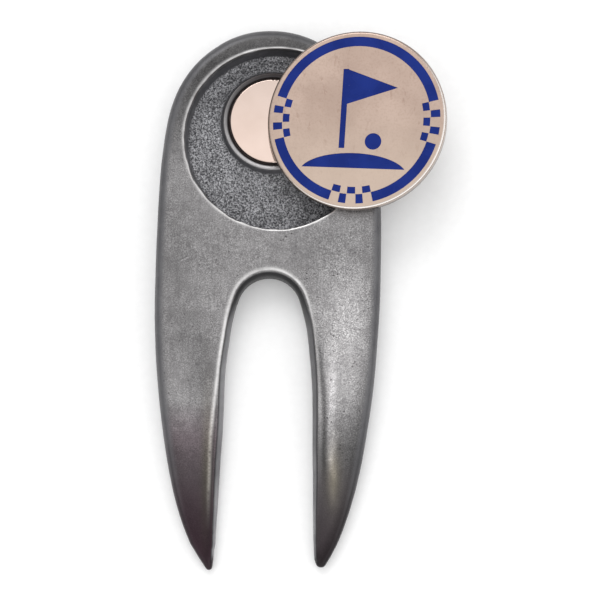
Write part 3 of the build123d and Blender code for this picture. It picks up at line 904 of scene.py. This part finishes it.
def zinc_material():
    m = Mat("zinc_cast")
    add, mul = (lambda a, b: m.math("ADD", a, b)), (lambda a, b: m.math("MULTIPLY", a, b))
    recess, floor, worn_and_lit = m.attr("recess"), m.attr("floor"), m.attr("worn_and_lit")
    boss, shoulder, band = m.attr("boss"), m.attr("shoulder"), m.attr("slotband")
    tone, gold, violet, grit = m.attr("tone"), m.attr("gold"), m.attr("violet"), m.attr("grit")
    y = m.axis(1)
    speck = m.noise(6200, 3.0, 0.65)
    coarse = m.noise(3900, 3.0, 0.7)
    cloud = m.noise(170, 4.0, 0.62)
    mottle = m.noise(620, 4.0, 0.68)
    streak = m.noise(1.0, 3.0, 0.6, vec=m.stretch((3300, 260, 900)))
    pits = m.range(m.cells(1700), 0.10, 0.32, 1.0, 0.0)
    sparse = m.range(m.noise(520, 2.0, 0.5), 0.50, 0.66)
    pits = mul(pits, mul(sparse, m.range(grit, 0.30, 0.60, 0.55, 1.0)))
    # colour: mottled grey with dark open grain, finely brushed lengthwise
    col = m.mix(m.range(speck, 0.30, 0.68), (0.175, 0.170, 0.172), (0.440, 0.430, 0.432))
    col = m.mix(mul(m.range(coarse, 0.50, 0.66), mul(grit, 0.92)), col, (0.085, 0.082, 0.084))
    col = m.mix(mul(m.range(speck, 0.50, 0.68), mul(grit, 0.80)), col, (0.66, 0.65, 0.65))
    col = m.mix(m.range(cloud, 0.36, 0.72, 0.0, 0.45), col, (0.222, 0.215, 0.218))
    col = m.mix(m.range(mottle, 0.46, 0.66, 0.0, 0.38), col, (0.180, 0.172, 0.174))
    col = m.mix(m.range(mottle, 0.52, 0.36, 0.0, 0.22), col, (0.420, 0.410, 0.412))
    col = m.mix(m.range(streak, 0.44, 0.74, 0.0, 0.45), col, (0.198, 0.193, 0.197))
    col = m.mix(mul(pits, 0.85), col, (0.045, 0.042, 0.043))
    # the prong ends are rubbed smooth
    smooth = m.range(y, -0.050, -0.037, 1.0, 0.0)
    col = m.mix(mul(smooth, 0.72), col, m.mix(m.range(cloud, 0.3, 0.7), (0.245, 0.238, 0.240), (0.300, 0.291, 0.294)))
    # painted tints and shade: a violet reflection toward the prong ends, gold patches, and the tone with its painted
    # shade and highlights
    tint = m.mix(violet, (1, 1, 1), (1.0, 0.64, 0.80))
    tint = m.mix(gold, tint, (1.0, 0.93, 0.76))
    col = m.mix(1.0, col, tint, "MULTIPLY")
    col = m.mix(1.0, col, tone, "MULTIPLY")
    # painted shade on the outer shoulder and walls, darker still toward the prong ends
    outer_edge_shade = m.mix(m.range(cloud, 0.3, 0.7), (0.108, 0.107, 0.114), (0.148, 0.147, 0.154))
    tipk = m.range(y, -0.058, -0.044, 0.42, 1.0)
    outer_edge_shade = m.mix(1.0, outer_edge_shade, tipk, "MULTIPLY")
    col = m.mix(mul(shoulder, m.range(y, -0.053, -0.038, 0.22, 0.90)), col, outer_edge_shade)
    # recess: dark wall, grained floor with bright tops
    grain = m.range(m.noise(4300, 3.0, 0.72), 0.36, 0.66)
    floor_col = m.mix(grain, (0.058, 0.058, 0.063), (0.52, 0.52, 0.54))
    floor_col = m.mix(1.0, floor_col, m.range(m.attr("patch"), 0.0, 1.0, 0.50, 1.25, "LINEAR"), "MULTIPLY")
    wall_col = m.mix(m.range(cloud, 0.3, 0.7), (0.15, 0.15, 0.161), (0.26, 0.257, 0.27))
    col = m.mix(recess, col, wall_col)
    col = m.mix(mul(floor, recess), col, floor_col)
    # painted light on the boss lip: brighter toward the lower left, dark opposite
    col = m.mix(mul(boss, 0.90), col, m.mix(m.attr("lit"), (0.045, 0.038, 0.038), (0.42, 0.41, 0.415)))
    # painted shade: the gap round the magnet is near black
    col = m.mix(mul(m.attr("gap"), 0.92), col, (0.030, 0.026, 0.026))
    # the slot's drafted wall is painted dark as shade, lighter on the left prong's lit wall and toward the prong ends,
    # darkest in the arch; rubbed, bright metal runs along the edges, painted brighter as a highlight
    band_col = m.mix(m.range(cloud, 0.3, 0.7), (0.105, 0.104, 0.109), (0.165, 0.163, 0.168))
    band_col = m.mix(1.0, band_col, m.range(m.attr("lit_slot_wall"), 0.0, 1.0, 1.10, 1.85, "LINEAR"), "MULTIPLY")
    # painted shade: the wall is darkest in the arch
    band_col = m.mix(1.0, band_col, m.range(m.attr("arch"), 0.0, 1.0, 1.0, 0.20, "LINEAR"), "MULTIPLY")
    # painted light: the wall is lighter toward the prong ends
    band_col = m.mix(1.0, band_col, m.range(y, -0.058, -0.046, 1.45, 1.0), "MULTIPLY")
    col = m.mix(mul(band, 0.94), col, band_col)
    # painted shade: a dark line along the slot edge
    col = m.mix(mul(m.attr("slotline"), 0.75), col, (0.022, 0.021, 0.023))
    # rubbed metal along the rim and slot edges, painted brighter as a highlight
    wear_sheen = mul(worn_and_lit, m.range(m.noise(900, 2.0, 0.6), 0.30, 0.62, 0.74, 1.0))
    wear_sheen = mul(wear_sheen, m.range(y, -0.057, -0.040, 0.25, 1.0))
    col = m.mix(mul(wear_sheen, 0.94), col, m.mix(gold, (0.96, 0.945, 0.94), (0.93, 0.86, 0.72)))
    # roughness
    rough = m.range(speck, 0.2, 0.8, 0.32, 0.46, "LINEAR")
    rough = add(rough, mul(m.range(streak, 0.3, 0.8), 0.06))
    rough = m.math("SUBTRACT", rough, mul(wear_sheen, 0.08))
    rough = add(rough, mul(recess, 0.12))
    rough = m.math("SUBTRACT", rough, mul(smooth, 0.07), clamp=True)
    # relief
    keep = mul(m.math("SUBTRACT", 1.0, mul(recess, 0.4)), m.math("SUBTRACT", 1.0, mul(smooth, 0.7)))
    h = add(mul(speck, 0.8), mul(mul(coarse, grit), -0.8))
    h = add(h, mul(streak, 0.30))
    h = m.math("SUBTRACT", h, mul(pits, 1.3))
    n = m.bump(mul(h, keep), 0.000022, 1.0)
    n = m.bump(mul(mul(grain, floor), 1.0), 0.00004, 1.0, n)
    return m.set(Base_Color=col, Metallic=1.0, Roughness=rough, Normal=n)


def magnet_material():
    m = Mat("magnet_nickel")
    smear = m.noise(140, 3.0, 0.6)
    fine = m.noise(1.0, 2.0, 0.5, vec=m.stretch((5200, 500, 900), rot=(0, 0, 0.5)))
    col = m.mix(m.range(smear, 0.3, 0.7), (0.745, 0.59, 0.515), (0.80, 0.645, 0.57))
    shade = m.range(m.axis(1), -0.0010, 0.0088, 1.0, 0.80, "LINEAR")
    col = m.mix(1.0, col, shade, "MULTIPLY")
    rough = m.math("ADD", m.range(smear, 0.3, 0.75, 0.045, 0.11, "LINEAR"), m.math("MULTIPLY", fine, 0.03))
    n = m.bump(m.math("ADD", m.math("MULTIPLY", fine, 0.2), smear), 0.000003, 0.6)
    return m.set(Base_Color=col, Metallic=1.0, Roughness=rough, Normal=n)


def glue_material():
    m = Mat("epoxy")
    f = m.noise(1400, 3.0, 0.6)
    col = m.mix(f, (0.010, 0.006, 0.006), (0.035, 0.022, 0.02))
    return m.set(Base_Color=col, Metallic=0.0, Roughness=m.range(f, 0.3, 0.7, 0.35, 0.6, "LINEAR"),
                 Normal=m.bump(f, 0.00003, 0.8))


# the marker's own frame: middle of its back and the direction of its face
MK = Vector((12.101, 2.173, 5.750)) * MM
MK_N = Vector((-0.19931, -0.03482, 0.97932)).normalized()


def marker_material():
    m = Mat("nickel_plate")
    add, mul = (lambda a, b: m.math("ADD", a, b)), (lambda a, b: m.math("MULTIPLY", a, b))
    cloud = m.noise(130, 3.0, 0.6)
    speck = m.noise(3600, 2.0, 0.6)
    streak = m.noise(1.0, 3.0, 0.6, vec=m.stretch((3400, 420, 900), rot=(0, 0, -0.15)))
    marks = m.range(m.noise(1.0, 4.0, 0.7, vec=m.stretch((1100, 420, 500), rot=(0, 0, 0.35))), 0.585, 0.68)
    # distance from the marker's axis tells the face from the rolled edge
    rel = m.node("ShaderNodeVectorMath", {0: m.co, 1: tuple(MK)}, operation="SUBTRACT").outputs[0]
    up = m.node("ShaderNodeVectorMath", {0: rel, 1: tuple(MK_N)}, operation="DOT_PRODUCT").outputs["Value"]
    ln = m.node("ShaderNodeVectorMath", {0: rel}, operation="LENGTH").outputs["Value"]
    rad = m.math("SQRT", m.math("SUBTRACT", mul(ln, ln), mul(up, up)))
    edge = m.range(rad, 0.01205, 0.0123)
    col = m.mix(m.range(cloud, 0.3, 0.7), (0.430, 0.322, 0.268), (0.520, 0.397, 0.333))
    col = m.mix(mul(m.range(speck, 0.30, 0.55, 1.0, 0.0), 0.36), col, (0.37, 0.26, 0.21))
    col = m.mix(mul(marks, 0.42), col, (0.33, 0.22, 0.175))
    # painted light: the face is painted brighter toward the bottom
    low = m.range(m.axis(1), -0.008, 0.006, 1.0, 0.0)
    col = m.mix(mul(low, 0.55), col, (0.60, 0.490, 0.400))
    # the rolled edge is polished; it is painted dark toward the upper left and bright toward the lower right, as
    # painted shade and highlight
    lr = m.node("ShaderNodeVectorMath", {0: rel, 1: (0.62, -0.78, 0.0)}, operation="DOT_PRODUCT").outputs["Value"]
    lr = m.range(lr, -0.004, 0.0105)
    roll = m.range(rad, 0.01206, 0.01224)
    col = m.mix(mul(roll, 0.85), col, m.mix(lr, (0.24, 0.19, 0.165), (0.50, 0.425, 0.38)))
    # painted highlight: a thin white line on the rolled edge toward the lower right
    line = mul(m.range(rad, 0.01212, 0.01222), m.range(rad, 0.01230, 0.01240, 1.0, 0.0))
    col = m.mix(mul(mul(line, lr), 0.9), col, (0.97, 0.93, 0.90))
    # painted shade: the side wall is painted dark brown
    side = m.range(up, 0.0012, 0.0015, 1.0, 0.0)
    col = m.mix(mul(side, 0.90), col, m.mix(m.range(streak, 0.3, 0.7), (0.15, 0.118, 0.102), (0.23, 0.185, 0.162)))
    rough = add(m.range(speck, 0.2, 0.8, 0.25, 0.36, "LINEAR"), mul(streak, 0.05))
    rough = m.math("SUBTRACT", rough, mul(edge, 0.14))
    h = add(mul(speck, 0.7), mul(streak, 0.5))
    h = m.math("SUBTRACT", h, mul(marks, 0.8))
    return m.set(Base_Color=col, Metallic=1.0, Roughness=rough, Normal=m.bump(h, 0.000010, 1.0))


def enamel_material():
    m = Mat("blue_enamel")
    add, mul = (lambda a, b: m.math("ADD", a, b)), (lambda a, b: m.math("MULTIPLY", a, b))
    cloud = m.noise(260, 2.0, 0.5)
    speck = m.noise(3200, 2.0, 0.6)
    col = m.mix(m.range(cloud, 0.3, 0.7), (0.0038, 0.0165, 0.150), (0.0070, 0.0240, 0.190))
    col = m.mix(m.range(speck, 0.70, 0.82, 0.0, 0.45), col, (0.10, 0.14, 0.36))
    rough = m.range(cloud, 0.3, 0.7, 0.22, 0.34, "LINEAR")
    return m.set(Base_Color=col, Metallic=0.0, Roughness=rough, Specular_IOR_Level=0.12,
                 Normal=m.bump(add(cloud, mul(speck, 0.15)), 0.00002, 0.6))


zinc, plate, glue = zinc_material(), magnet_material(), glue_material()
disc, blue = marker_material(), enamel_material()
fork_mesh.materials.append(zinc)
adhesive.data.materials.append(glue)
for n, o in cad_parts.items():
    mt = blue if "enamel" in n else {"fork_body": zinc, "magnet": plate, "magnet_adhesive": glue,
                                     "marker_disc": disc}[n]
    o.data.materials.clear()
    o.data.materials.append(mt)

# =====================================================================
# Stage: floor, camera, lights
# =====================================================================
s = 0.6
me = bpy.data.meshes.new("floor")
low = -0.00003
# the table is open under the tool, so that its back isn't in the dark
hole = LOOP + LOOP_N * 0.8
clear, _ = distance_to(hole, LOOP, np.ones(len(LOOP), bool))
hole = hole[clear > 0.78]
corner = np.array([(-s, -s), (s, -s), (s, s), (-s, s)]) / MM
plan = np.concatenate([corner, hole])
src, tris = triangulate(plan, [list(range(4)), list(range(4, len(plan)))])
plan = plan[src]
tris = tris[~inside(plan[tris].mean(1), hole)]
me.from_pydata(np.column_stack([plan * MM, np.full(len(plan), low)]).tolist(), [], tris.tolist())
if me.polygons[0].normal.z < 0:
    me.flip_normals()
fl = bpy.data.objects.new("floor", me)
scene.collection.objects.link(fl)
fm = Mat("paper")
paper = fm.mix(fm.range(fm.noise(900, 2.0, 0.5), 0.3, 0.7), (0.93, 0.93, 0.93), (0.95, 0.95, 0.95))
fm.set(Base_Color=paper, Roughness=0.9, Emission_Color=(1, 1, 1), Emission_Strength=0.02)
# the table is clear from underneath, so that the tool's back can be looked at
under = fm.node("ShaderNodeNewGeometry").outputs["Backfacing"]
see = fm.node("ShaderNodeMixShader", {0: under, 1: fm.b.outputs[0],
                                      2: fm.node("ShaderNodeBsdfTransparent").outputs[0]})
fm.t.links.new(see.outputs[0], fm.t.nodes["Material Output"].inputs["Surface"])
fl.data.materials.append(fm.m)

C = (2.771, -43.886, 189.228)
R = ((0.9998141840455431, 0.01580211659601109, 0.01104040272955777),
     (-0.016955243673187213, 0.9933773328332759, 0.11363975679765283),
     (0.009171537130034463, 0.11380583343630901, -0.9934606762134772))
cam = bpy.data.cameras.new("camera")
eye = bpy.data.objects.new("camera", cam)
scene.collection.objects.link(eye)
eye.matrix_world = Matrix(((R[0][0], R[1][0], -R[2][0], C[0] * MM),
                           (R[0][1], R[1][1], -R[2][1], C[1] * MM),
                           (R[0][2], R[1][2], -R[2][2], C[2] * MM),
                           (0, 0, 0, 1)))
cam.sensor_width = 36
cam.lens = 1346.14 / 600 * 36
cam.clip_start = 0.01
cam.clip_end = 10
scene.camera = eye

# studio: a broad soft overhead panel, dim surroundings, a white table
world = bpy.data.worlds.new("studio")
scene.world = world
world.use_nodes = True
wt = world.node_tree
bg = wt.nodes["Background"]


def wn(kind, ins=(), **props):
    n = wt.nodes.new(kind)
    for k, v in props.items():
        setattr(n, k, v)
    for k, v in dict(ins).items():
        if isinstance(v, bpy.types.NodeSocket):
            wt.links.new(v, n.inputs[k])
        else:
            n.inputs[k].default_value = v
    return n


def wm(op, a, b=0.0):
    return wn("ShaderNodeMath", {0: a, 1: b}, operation=op).outputs[0]


def wr(v, a, b, c=0.0, d=1.0):
    return wn("ShaderNodeMapRange", {"Value": v, "From Min": a, "From Max": b, "To Min": c, "To Max": d},
              interpolation_type="SMOOTHSTEP").outputs[0]


sep = wn("ShaderNodeSeparateXYZ", {0: wn("ShaderNodeTexCoord").outputs["Generated"]})
X, Y, ZZ = sep.outputs
zc = wm("MAXIMUM", ZZ, 0.02)
U, V = wm("DIVIDE", X, zc), wm("DIVIDE", Y, zc)


def panel(u0, u1, v0, v1, su0, su1, sv0, sv1, power):
    a = wm("MULTIPLY", wr(U, u0 - su0, u0 + su0), wr(U, u1 - su1, u1 + su1, 1.0, 0.0))
    b = wm("MULTIPLY", wr(V, v0 - sv0, v0 + sv0), wr(V, v1 - sv1, v1 + sv1, 1.0, 0.0))
    return wm("MULTIPLY", wm("MULTIPLY", a, b), power)


# a bright ring of the dome at middle height lights the table; overhead it is dimmer
light = panel(-0.58, 0.45, -0.20, 0.46, 0.20, 0.18, 0.16, 0.14, 0.46)
ring = wm("MULTIPLY", wm("MULTIPLY", wr(ZZ, 0.10, 0.30), wr(ZZ, 0.70, 0.86, 1.0, 0.0)),
          wm("ADD", wm("MULTIPLY", X, 0.06), 1.0))
dome = wm("ADD", wm("MULTIPLY", ring, 1.12), wr(ZZ, 0.70, 0.86, 0.0, 0.62))
below = wr(ZZ, -0.02, 0.01, 0.85, 0.0)
up_mask = wr(ZZ, 0.0, 0.03)
total = wm("ADD", wm("MULTIPLY", wm("ADD", wm("ADD", light, dome), 0.10), up_mask), below)
lp = wn("ShaderNodeLightPath").outputs["Is Camera Ray"]
mixw = wn("ShaderNodeMix", {0: lp, 2: total, 3: 1.0}, data_type="FLOAT")
wt.links.new(mixw.outputs[0], bg.inputs["Strength"])
bg.inputs["Color"].default_value = (1, 1, 1, 1)


def area(name, pos, size, power, color=(1, 1, 1), target=(0, -0.02, 0)):
    l = bpy.data.lights.new(name, "AREA")
    l.shape = "RECTANGLE"
    l.size, l.size_y = size
    l.energy = power
    l.color = color
    o = bpy.data.objects.new(name, l)
    scene.collection.objects.link(o)
    o.location = pos
    o.rotation_euler = (Vector(target) - Vector(pos)).to_track_quat("-Z", "Y").to_euler()
    return o


area("top_key", (-0.12, 0.42, 0.42), (0.34, 0.26), 0.95)
